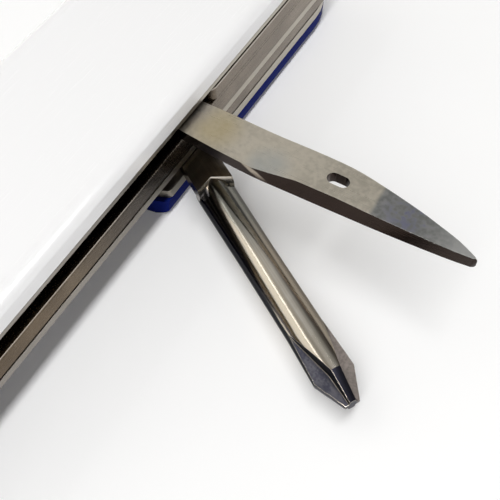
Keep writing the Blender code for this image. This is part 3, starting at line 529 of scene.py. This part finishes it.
# %% [markdown]
# ## Steel of the screwdriver
# The driver is drawn round bar. Its top is polished bright, so it is nearly a mirror, and some of its bands of
# light and dark come from what it mirrors. The others are painted into its colour as painted reflection: a grey
# stretch next to the tang, a warm band beside the top, a nearly black flank on the side that lies against the
# neighbouring plate and a brown flank on the other. The painted black flank narrows towards the point. A dark
# tint at glancing angles is painted shade on the polished part. The flat tang and the pressed flats of the cross
# point are dark, partly as painted reflection, and have finishes of their own, because one recipe for all three
# would need a mask for every number.

# %% Polished bar
DRIVER_SIDEWAYS = (-math.sin(DRIVER_TURN), math.cos(DRIVER_TURN), 0.0)
DARK_REFLECTION_FROM = 13 * MM
DARK_REFLECTION_NARROWS = 17.0
DARK_REFLECTION_STEADY_FROM = 33 * MM
GREY_REFLECTION_FROM = 15 * MM
GREY_REFLECTION_TO = 26 * MM
BAR_CLOUDY = rgb(0.54, 0.50, 0.43)
BAR_BRIGHT = rgb(0.64, 0.61, 0.55)
BAR_DARK_REFLECTION = rgb(0.046, 0.046, 0.050)
BAR_BROWN_REFLECTION = rgb(0.27, 0.235, 0.19)
BAR_WARM_REFLECTION = rgb(0.70, 0.63, 0.52)
BAR_GREY_REFLECTION = rgb(0.17, 0.17, 0.155)
BAR_GLANCING_SHADE = rgb(0.42, 0.42, 0.42)

driver_steel, place = new_finish("driver_steel")
along = turned(place, BACK_PIN, DRIVER_TURN)
reach = part_of(along, "X")
lines = ground_lines(along, 14 * MM, 0.12 * MM)
cloud = mottle(along, 4 * MM, 2.0)
sideways = facing(place, DRIVER_SIDEWAYS)
metal = blend(place, between(place, cloud * 0.6 + lines * 0.4, 0.35, 0.65), BAR_CLOUDY, BAR_BRIGHT)
# Painted reflection: a warm band on one side of the top and a brown flank on the other.
metal = blend(place, between(place, sideways, -0.12, -0.3), metal, BAR_WARM_REFLECTION)
metal = blend(place, between(place, sideways, 0.12, 0.3), metal, BAR_BROWN_REFLECTION)
# Painted reflection: grey next to the tang.
grey = between(place, reach, GREY_REFLECTION_TO, GREY_REFLECTION_FROM) * between(place, sideways, -0.44, -0.32)
metal = blend(place, grey * 0.9, metal, BAR_GREY_REFLECTION)
# Painted reflection: the far flank turns nearly black, less far round towards the point.
narrowing_reach = place.node("Math", {"operation": "MINIMUM"}, {0: reach, 1: DARK_REFLECTION_STEADY_FROM})
flank = sideways + (narrowing_reach - DARK_REFLECTION_FROM) * DARK_REFLECTION_NARROWS
metal = blend(place, between(place, flank + cloud * 0.08, -0.46, -0.56), metal, BAR_DARK_REFLECTION)
# The edge tint darkens glancing reflections: painted shade.
close_metal(place, metal, 0.09 + lines * 0.10, bumped(place, 0.15, lines), BAR_GLANCING_SHADE)
# The narrowing printed here is that of the painted dark flank.
print("bar skin narrows from", round(DARK_REFLECTION_FROM / MM), "mm on")

# %% Tang with painted highlights on its chamfers
DRIVER_ALONG = (math.cos(DRIVER_TURN), math.sin(DRIVER_TURN), 0.0)
# The tang's dark steel is painted reflection of the dark back of the handle.
TANG_DARK = rgb(0.10, 0.086, 0.072)
TANG_LIGHT = rgb(0.17, 0.15, 0.125)
TANG_FOOT = rgb(0.26, 0.23, 0.20)
TANG_CHAMFER_HIGHLIGHT = rgb(0.60, 0.56, 0.50)

tang_steel, place = new_finish("tang_steel")
along = turned(place, BACK_PIN, DRIVER_TURN)
lines = ground_lines(along, 8 * MM, 0.15 * MM)
cloud = mottle(along, 3 * MM, 2.0)
metal = blend(place, between(place, cloud * 0.6 + lines * 0.4, 0.35, 0.65), TANG_DARK, TANG_LIGHT)
metal = blend(place, between(place, part_of(along, "X"), 8.6 * MM, 11.0 * MM) * 0.6, metal, TANG_FOOT)
# Painted highlight: the chamfers that face along the bar are bright.
metal = blend(place, between(place, facing(place, DRIVER_ALONG), 0.2, 0.4), metal, TANG_CHAMFER_HIGHLIGHT)
close_metal(place, metal, 0.16 + lines * 0.10, bumped(place, 0.15, lines))
print("driver finishes:", driver_steel.name, tang_steel.name)

# %% Pressed flats of the cross point
DRIVER_SIDE = 2.1 * MM
POINT_FROM = 42.0
FIN_TOP = 0.64 * MM
FIN_SOFT = 0.06 * MM
FIN_END_SHADE = rgb(0.030, 0.030, 0.042)
FLAT_BLACK_REFLECTION = (rgb(0.032, 0.032, 0.043), rgb(0.068, 0.066, 0.075))
FLAT_BROWN = (rgb(0.105, 0.090, 0.083), rgb(0.165, 0.145, 0.132))

pressed_steel, place = new_finish("pressed_steel")
along = turned(place, BACK_PIN, DRIVER_TURN)
skin = mottle(place, 0.35 * MM)
tone = between(place, skin * 0.6 + mottle(place, 2 * MM, 2.0) * 0.4, 0.36, 0.64)
off_axis = part_of(along, "Y") - DRIVER_SIDE
# Painted reflection: the flats on one side of the axis are near black, those on the other brown-grey.
black = blend(place, tone, *FLAT_BLACK_REFLECTION)
brown = blend(place, tone, *FLAT_BROWN)
metal = blend(place, between(place, off_axis, -0.2 * MM, 0.2 * MM), black, brown)
# Painted shade: the end face of the fin is dark.
fin_end = between(place, part_of(along, "X"), (POINT_FROM + 0.1) * MM, (POINT_FROM + 0.2) * MM)
fin_end = fin_end * between(place, off_axis * off_axis, (FIN_TOP + FIN_SOFT) ** 2, FIN_TOP**2)
metal = blend(place, fin_end, metal, FIN_END_SHADE)
close_metal(place, metal, 0.34 + skin * 0.14, bumped(place, 0.3, skin, 0.02 * MM))
print("pressed flats start the point at", POINT_FROM, "mm")

# %% [markdown]
# ## Back springs, liners and bushes
# The three springs and the liners are ground flush together along the back, so their lines run along the handle.
# The springs are harder and browner and take a brighter polish. The upper divider is polished with the springs
# and has a painted highlight, a thin bright line along the open slot, and the top spring has one along its top.
# The liners are a softer alloy, paler and duller. All of them are the satin steel from above with other numbers,
# which keeps their wear, painted reflection and painted shade in the same places.

# %% Spring steel, liner metal and brass
SPRING = (rgb(0.245, 0.206, 0.162), rgb(0.165, 0.135, 0.104), 0.26, 16 * MM, 0.22 * MM)
# Painted reflection: springs and liners turn darker and browner towards the rear, as the shaded table would
# mirror.
SPRING_REAR_REFLECTION = (rgb(0.106, 0.074, 0.044), rgb(0.178, 0.131, 0.080))
# Painted highlights: a bright line along the top of the top spring and along the divider's open slot.
SPRING_TOP_HIGHLIGHT = (13.45 * MM, -60 * MM, 60 * MM)
DIVIDER_SLOT_HIGHLIGHT = (11.25 * MM, -60 * MM, 6 * MM)
LINER = (rgb(0.47, 0.43, 0.365), rgb(0.42, 0.385, 0.325), 0.34, 10 * MM, 0.08 * MM)
LINER_REAR_REFLECTION = (rgb(0.27, 0.245, 0.215), rgb(0.335, 0.307, 0.275))
BRASS = (rgb(0.72, 0.55, 0.27), rgb(0.60, 0.44, 0.20), 0.30, 2 * MM, 0.1 * MM)

spring_steel = satin_steel("spring_steel", *SPRING, rear=SPRING_REAR_REFLECTION)
top_spring_steel = satin_steel("top_spring_steel", *SPRING, rear=SPRING_REAR_REFLECTION, rim=SPRING_TOP_HIGHLIGHT)
divider_steel = satin_steel("divider_steel", *SPRING, rear=SPRING_REAR_REFLECTION, rim=DIVIDER_SLOT_HIGHLIGHT, bump=0.06)
liner_metal = satin_steel("liner_metal", *LINER, rear=LINER_REAR_REFLECTION, tool_shade_strength=0.35)
bush_brass = satin_steel("bush_brass", *BRASS)
for finish in (spring_steel, top_spring_steel, divider_steel, liner_metal, bush_brass):
    print("handle metal:", finish.name)

# %% [markdown]
# ## Moulded scales
# The scales are smooth moulded plastic, white above and dark blue below. Moulding leaves a very shallow waviness,
# and pocket wear leaves hair scratches that show as changes of gloss. On the rounded rim the white is painted
# lighter than the top, painted light against the rim's shade, and the blue and grey are a little darker there. A
# subsurface shader could let light into the white plastic, but at this size plain colours look the same.

# %% White, blue and grey plastic
PLASTIC_IOR = 1.49
WAVE_DEPTH = 0.03 * MM


def moulded(name, colour, rim, roughness, gloss):
    made, place = new_finish(name)
    wave = mottle(place, 5 * MM, 1.0)
    grain = mottle(place, 0.4 * MM)
    scuff = between(place, ground_lines(place, 7 * MM, 0.06 * MM), 0.62, 0.75)
    edge = between(place, flatness(place), 0.75, 0.15)
    sockets = {
        "Base Color": blend(place, edge * (0.8 + wave * 0.4), colour, rim),
        "Roughness": roughness + scuff * 0.06 + grain * 0.03,
        "IOR": PLASTIC_IOR,
        "Specular IOR Level": gloss,
        "Normal": bumped(place, 0.04, wave * 0.9 + grain * 0.1, WAVE_DEPTH),
    }
    close(place, place.node("BsdfPrincipled", {}, sockets))
    return made


# The white rim colour is lighter than the top: painted light on the shaded rim.
WHITE = (rgb(0.89, 0.89, 0.895), rgb(0.93, 0.93, 0.945), 0.24, 0.8)
BLUE = (rgb(0.008, 0.016, 0.148), rgb(0.007, 0.0135, 0.128), 0.30, 0.006)
GREY = (rgb(0.45, 0.45, 0.46), rgb(0.40, 0.40, 0.41), 0.40, 0.5)
white_plastic = moulded("white_plastic_finish", *WHITE)
blue_plastic = moulded("blue_plastic_finish", *BLUE)
grey_plastic = moulded("grey_plastic_finish", *GREY)
print("plastics:", white_plastic.name, blue_plastic.name, grey_plastic.name)

# %% [markdown]
# ## Tweezers
# The tweezers are a folded strip of spring steel with a grey plastic head that a fingernail pulls. Both are one
# piece in the frame. Two materials could be given to its faces, but a finish that changes from steel to plastic
# at a place along the handle needs no faces picked out.

# %% Tweezers: steel strip with a plastic head
HEAD_LENGTH = 9.0 * MM
HEAD_SOFT = 0.05 * MM
HEAD_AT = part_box("tweezers")[1][0] - HEAD_LENGTH
HEAD_GREY = rgb(0.42, 0.42, 0.43)

tweezers_finish, place = new_finish("tweezers_finish")
head = between(place, part_of(place, "X"), HEAD_AT - HEAD_SOFT, HEAD_AT + HEAD_SOFT)
grain = mottle(place, 0.3 * MM)
strip_tone = blend(place, mottle(place, 3 * MM), rgb(0.50, 0.49, 0.47), rgb(0.58, 0.57, 0.55))
sockets = {
    "Base Color": blend(place, head, strip_tone, HEAD_GREY),
    "Metallic": 1.0 - head,
    "Roughness": 0.26 + head * 0.16 + grain * 0.08,
    "Normal": bumped(place, 0.2, grain),
}
close(place, place.node("BsdfPrincipled", {}, sockets))
print("tweezers head starts at", round(HEAD_AT / MM, 1), "mm")

# %% [markdown]
# ## Softened edges
# No real edge is perfectly sharp: tumbling leaves up to a tenth of a millimetre of round on it, the thin bright
# line that one sees along every plate. The frame's solids have sharp edges and their triangles share no
# corners, so each piece is welded, its flat faces are joined up, and its sharp edges are bevelled. A Bevel
# modifier could do it as well, but doing it in mesh code keeps each finished piece a plain mesh.

# %% Weld, join and bevel
WELD = 0.002 * MM
FLAT = math.radians(0.3)
SOFTEN = math.radians(35.0)
SMOOTH = math.radians(50.0)
BODY_OF = {node: body for body, nodes in frame["record"]["behaviour"]["bodies"].items() for node in nodes}


def add_piece(name, bm, finishes, node):
    for edge in bm.edges:
        if edge.is_manifold and edge.calc_face_angle() > SMOOTH:
            edge.smooth = False
    for face in bm.faces:
        face.smooth = True
    mesh = bpy.data.meshes.new(name)
    bm.to_mesh(mesh)
    bm.free()
    for finish in finishes:
        mesh.materials.append(finish)
    piece = bpy.data.objects.new(name, mesh)
    flats = piece.modifiers.new("flat_faces", "WEIGHTED_NORMAL")
    flats.keep_sharp = True
    flats.weight = 90
    bpy.context.scene.collection.objects.link(piece)
    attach(piece, BODY_OF[node])
    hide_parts(node)
    return piece


def welded(node):
    """The node's solid as one connected mesh, with the triangles of each flat face joined up."""
    bm = bmesh.new()
    bm.from_mesh(frame["nodes"][node].data)
    bmesh.ops.remove_doubles(bm, verts=bm.verts, dist=WELD)
    bmesh.ops.dissolve_limit(bm, angle_limit=FLAT, verts=bm.verts, edges=bm.edges)
    return bm


def soften(bm, round_mm):
    edges = [edge for edge in bm.edges if edge.is_manifold and edge.calc_face_angle() > SOFTEN]
    bmesh.ops.bevel(
        bm, geom=edges, offset=round_mm * MM, segments=2, profile=0.6, affect="EDGES", clamp_overlap=True
    )


print("edges over", round(math.degrees(SOFTEN)), "degrees are rounded")

# %% [markdown]
# ## Screwdriver bar
# The bar is round along most of its length. Near the point four notches are pressed into it and open towards the
# end, which leaves an upright fin and two flat wings, the cross. A loft through rings of equal point count makes
# it in one mesh: on the round part the points that will become a notch simply lie on the circle. Cutting the
# notches with booleans would work too, but their long thin run-outs come out ragged.

# %% One ring across the bar
DRIVER_AXIS_Z = 3.6 * MM
BAR_RADIUS = 2.6 * MM
WING_ROOT = 1.0 * MM
FIN_ROOT = math.sqrt(BAR_RADIUS**2 - WING_ROOT**2)
FILLET = 0.22 * MM
CREST_STEPS = (0.0, 0.2, 0.4, 0.6, 0.8)


def bar_ring(radius, fin, wing, reach):
    """Sideways and upward places of one ring, counter-clockwise from the right wing's tip."""

    def on_bar(angle):
        return (radius * math.cos(angle), radius * math.sin(angle))

    depth = radius - math.hypot(fin, wing)
    if depth > 0:
        lean = math.asin(wing / reach)
        tip = [(reach * math.cos(lean * t), reach * math.sin(lean * t)) for t in (0.0, 0.5, 1.0)]
        soft = min(FILLET, depth / 2)
        notch = [(fin + soft, wing), (fin + 0.3 * soft, wing + 0.3 * soft), (fin, wing + soft)]
        crest = math.acos(fin / radius)
    else:
        lean = math.asin(wing / radius)
        tip = [on_bar(lean * t) for t in (0.0, 0.5, 0.94)]
        notch = [on_bar(lean * t) for t in (0.97, 1.0, 1.03)]
        crest = lean * 1.06
    crown = [on_bar(crest + (math.pi / 2 - crest) * t) for t in CREST_STEPS]
    quarter = tip + notch + crown
    upper = quarter + [(0.0, radius)] + [(-side, up) for side, up in reversed(quarter)]
    return upper + [(-side, -up) for side, up in upper[1:-1]]


print("points in a ring:", len(bar_ring(BAR_RADIUS, BAR_RADIUS, WING_ROOT, BAR_RADIUS)))

# %% [markdown]
# ## Rings along the bar
# The rings stand where the bar changes: a slight swell at the tang, a long plain stretch, then the notches that
# open steadily over seven millimetres, and the blunt point. Faces inside the notches and on the point take the
# pressed finish, the rest the polished one. A curve with a bevel would make the plain part in one go, but it has
# one profile from end to end.

# %% Places and widths of the rings
PLAIN_RINGS = (10.4, 13.0, 17.0, 22.4, 29.0)
SWELL_RADIUS = 2.74
SWELL_DROP = 0.14
SWELL_FROM = 9.4
SWELL_LENGTH = 13.0
NOTCH_FROM = 35.2
NOTCH_LENGTH = 7.0
NOTCH_SHARES = (0.06, 0.15, 0.3, 0.5, 0.7, 0.85, 1.0)
WING_TIP = 0.5 * MM
WING_OUT = 0.25 * MM
POINT_END = (46.4, 1.05 * MM, 0.45 * MM, 0.37 * MM, 1.05 * MM)

stations = []
for u in (*PLAIN_RINGS, NOTCH_FROM):
    radius = (SWELL_RADIUS - SWELL_DROP * min((u - SWELL_FROM) / SWELL_LENGTH, 1.0)) * MM
    stations.append((u, radius, radius, WING_ROOT, radius))
for share in NOTCH_SHARES:
    fin = FIN_ROOT + (FIN_TOP - FIN_ROOT) * share
    wing = WING_ROOT + (WING_TIP - WING_ROOT) * share
    stations.append((NOTCH_FROM + NOTCH_LENGTH * share, BAR_RADIUS, fin, wing, BAR_RADIUS + WING_OUT * share))
stations.append(POINT_END)
print("rings along the bar:", len(stations))

# %% Loft of the bar
# Places in a ring whose faces lie inside a notch, counted from the tip of the right wing.
PRESSED = {start + step for start in (2, 16, 24, 38) for step in range(4)}
BAR_ROUND = 0.04

to_world = Matrix.Translation(BACK_PIN) @ Matrix.Rotation(DRIVER_TURN, 4, "Z")
bm = bmesh.new()
rings = []
for u, *widths in stations:
    ring = [Vector((u * MM, DRIVER_SIDE + side, DRIVER_AXIS_Z + up)) for side, up in bar_ring(*widths)]
    rings.append([bm.verts.new(to_world @ corner) for corner in ring])
for (u, *_), back, front in zip(stations, rings, rings[1:]):
    for i, corner in enumerate(back):
        j = (i + 1) % len(back)
        skin = bm.faces.new((corner, back[j], front[j], front[i]))
        skin.material_index = int(u > POINT_FROM or (u >= NOTCH_FROM and i in PRESSED))
bm.faces.new(reversed(rings[0]))
bm.faces.new(rings[-1]).material_index = 1
bmesh.ops.recalc_face_normals(bm, faces=bm.faces)
for corner, following in zip(rings[-2], rings[-2][1:] + rings[-2][:1]):
    bm.edges.get((corner, following)).smooth = False
soften(bm, BAR_ROUND)
bar = add_piece("phillips_driver_bar", bm, [driver_steel, pressed_steel], "phillips_driver")
print(bar.name, len(bar.data.polygons), "faces")

# %% [markdown]
# ## Screwdriver tang
# The flat tang that turns on the back pin is already right in the frame's solid. It is cut free from the solid's
# plain bar by a plane across the bar, just past where the finer bar begins, and its edges are softened.

# %% Tang cut from the solid
TANG_TO = 11.9 * MM
TANG_ROUND = 0.05

bm = welded("phillips_driver")
bmesh.ops.bisect_plane(
    bm,
    geom=bm.verts[:] + bm.edges[:] + bm.faces[:],
    plane_co=to_world @ Vector((TANG_TO, 0.0, 0.0)),
    plane_no=to_world.to_3x3() @ Vector((1.0, 0.0, 0.0)),
    clear_outer=True,
)
bmesh.ops.holes_fill(bm, edges=[edge for edge in bm.edges if edge.is_boundary])
soften(bm, TANG_ROUND)
tang = add_piece("phillips_driver_tang", bm, [tang_steel], "phillips_driver")
print(tang.name, len(tang.data.polygons), "faces")

# %% [markdown]
# ## Flush back
# The springs are ground flush with the plates beside them, so no seam shows between them along the back. The
# solids keep a tenth of a millimetre between neighbours, because solids that touch cannot be told apart. Here the
# faces of the springs move out by most of that tenth, and the wider relief cuts stay open. Under the upper liner
# a shadow line stays, and the lower liner is let a little way down into its scale. The blunt end of the awl is
# rounded off in the same function, corner by corner, before its edges are softened. New solids for all of these
# would do it too, but moving corners keeps every other size as the frame has it.

# %% Heights of faces, before and after, in millimetres
FLUSH = {
    "liner_upper": {13.8: 14.1},
    "spring_openers": {11.5: 11.43},
    "spring_saw": {8.0: 7.93, 10.8: 10.87},
    "spring_blade": {6.6: 6.67},
    "liner_lower": {3.3: 2.95},
    "scale_lower": {3.2: 2.9},
}
AWL_NOSE_Y = -54.8 * MM
NOSE_ROUND = 0.5 * MM


def dress(node, finish, round_mm):
    bm = welded(node)
    for old, new in FLUSH.get(node, {}).items():
        for corner in bm.verts:
            if abs(corner.co.z - old * MM) < WELD:
                corner.co.z = new * MM
    nose = [corner for corner in bm.verts if node == "awl" and corner.co.y < AWL_NOSE_Y]
    if nose:
        bmesh.ops.bevel(bm, geom=nose, offset=NOSE_ROUND, segments=3, profile=0.5, affect="VERTICES")
    if round_mm:
        soften(bm, round_mm)
    return add_piece(node + "_finished", bm, [finish], node)


print("faces moved on", ", ".join(FLUSH))

# %% [markdown]
# ## Dressing the pieces
# One table says which finish each piece takes and how much its edges are rounded, in millimetres. The thin
# springs take the least, and the awl, which was tumbled longest, takes the most. The scales and the key ring are
# round already. A line of code for each piece would do the same, but a table is easier to read and to change.

# %% Every piece, its finish and its edge
PIN_SPOTS = ("front", "rear", "back", "spring_front", "spring_rear")
BUSH_SPOTS = [f"{spot}_{end}" for spot in ("front", "rear", "back") for end in ("lower", "upper")]
DRESS = {
    blue_plastic: {"scale_lower": 0.0},
    white_plastic: {"scale_upper": 0.0},
    liner_metal: {"liner_upper": 0.05, "divider_lower": 0.05, "liner_lower": 0.05},
    top_spring_steel: {"spring_openers": 0.03},
    spring_steel: {"spring_saw": 0.03, "spring_blade": 0.03},
    divider_steel: {"divider_upper": 0.04},
    awl_steel: {"awl": 0.09},
    blade_steel: {"main_blade": 0.05},
    saw_steel: {"wood_saw": 0.04},
    opener_steel: {"can_opener": 0.05, "bottle_opener": 0.05},
    wire_steel: {"key_ring": 0.0, "key_lug": 0.08},
    tweezers_finish: {"tweezers": 0.04},
    grey_plastic: {"toothpick": 0.06},
    pin_steel: {f"pin_{spot}": 0.06 for spot in PIN_SPOTS},
    bush_brass: {f"bush_{spot}": 0.06 for spot in BUSH_SPOTS},
}

for finish, nodes in DRESS.items():
    for node, round_mm in nodes.items():
        dress(node, finish, round_mm)
    print(finish.name, "on", ", ".join(nodes))
